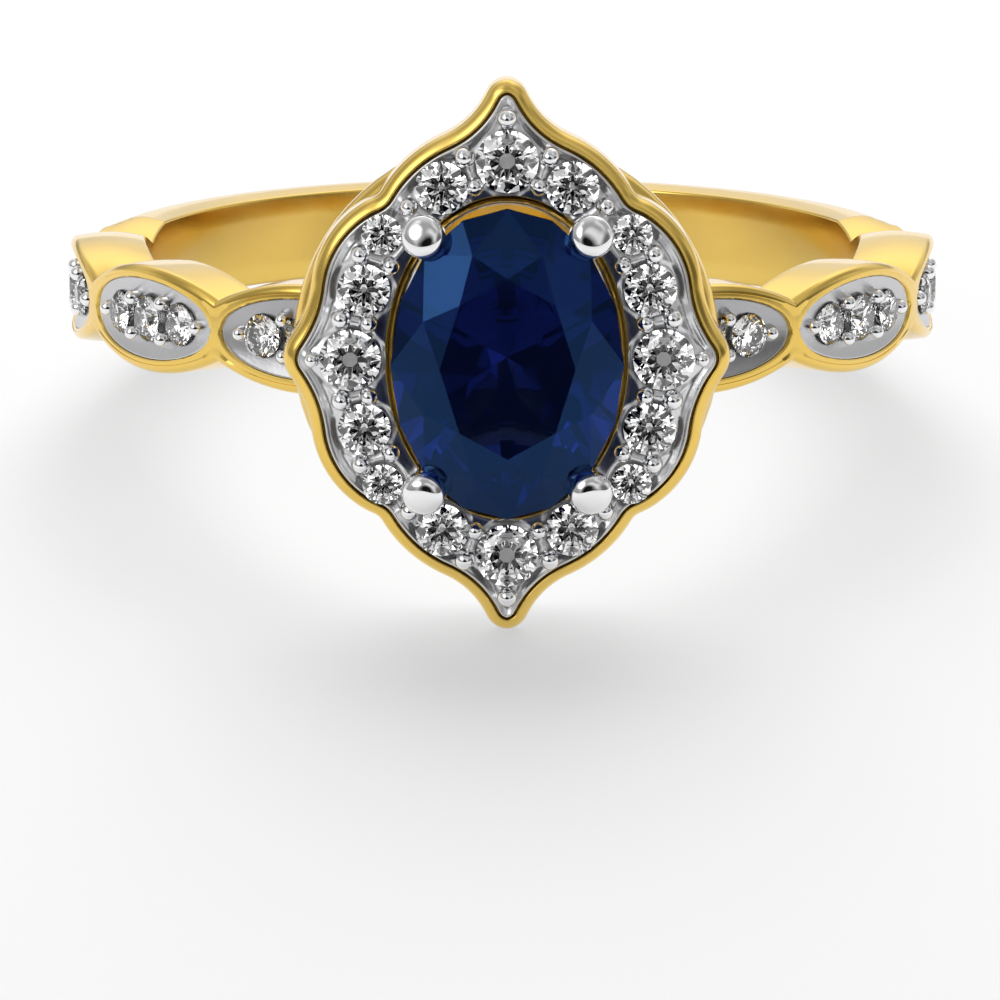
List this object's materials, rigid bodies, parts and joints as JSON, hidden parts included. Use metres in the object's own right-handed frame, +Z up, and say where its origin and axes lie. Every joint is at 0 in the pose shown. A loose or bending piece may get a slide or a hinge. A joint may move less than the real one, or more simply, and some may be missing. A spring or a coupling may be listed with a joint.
{
  "type": "engagement ring",
  "caption": "Finger ring with an oval stone in a four-pointed lantern halo, on a band of stone-set marquise links that runs into a plain band at the back.",
  "frame": {"origin": "on the table, under the middle of the ring's overall box, with the ring lying as it rests by itself: on the lower point of its halo and the back edge of its band", "axes": "+Z up from the table, +Y from the head toward the back of the band so that the head faces -Y, +X toward the right side of the halo seen from the front"},
  "size_m": [0.021, 0.0226, 0.0124],
  "materials": {
    "yellow_gold": "polished",
    "white_gold": "polished, satin on the plates",
    "sapphire": "faceted and polished",
    "diamond": "faceted and polished"
  },
  "bodies": {
    "root": {"band": "yellow_gold", "gallery_collar": "yellow_gold", "halo_frame": "yellow_gold", "halo_plate": "white_gold", "claw_rail": "white_gold", "blue_stone": "sapphire", "claw_upper_right": "white_gold", "claw_upper_left": "white_gold", "claw_lower_right": "white_gold", "claw_lower_left": "white_gold", "pave_plate_right_front": "white_gold", "pave_plate_right_middle": "white_gold", "pave_plate_right_back": "white_gold", "pave_plate_left_front": "white_gold", "pave_plate_left_middle": "white_gold", "pave_plate_left_back": "white_gold", "halo_diamond_01": "diamond", "halo_diamond_02": "diamond", "halo_diamond_03": "diamond", "halo_diamond_04": "diamond", "halo_diamond_05": "diamond", "halo_diamond_06": "diamond", "halo_diamond_07": "diamond", "halo_diamond_08": "diamond", "halo_diamond_09": "diamond", "halo_diamond_10": "diamond", "halo_diamond_11": "diamond", "halo_diamond_12": "diamond", "halo_diamond_13": "diamond", "halo_diamond_14": "diamond", "halo_diamond_15": "diamond", "halo_diamond_16": "diamond", "link_diamond_right_front_near_head": "diamond", "link_diamond_right_front_centre": "diamond", "link_diamond_right_front_far": "diamond", "link_diamond_right_middle_near_head": "diamond", "link_diamond_right_middle_centre": "diamond", "link_diamond_right_middle_far": "diamond", "link_diamond_right_back_near_head": "diamond", "link_diamond_right_back_centre": "diamond", "link_diamond_right_back_far": "diamond", "link_diamond_left_front_near_head": "diamond", "link_diamond_left_front_centre": "diamond", "link_diamond_left_front_far": "diamond", "link_diamond_left_middle_near_head": "diamond", "link_diamond_left_middle_centre": "diamond", "link_diamond_left_middle_far": "diamond", "link_diamond_left_back_near_head": "diamond", "link_diamond_left_back_centre": "diamond", "link_diamond_left_back_far": "diamond"}
  },
  "joints": []
}
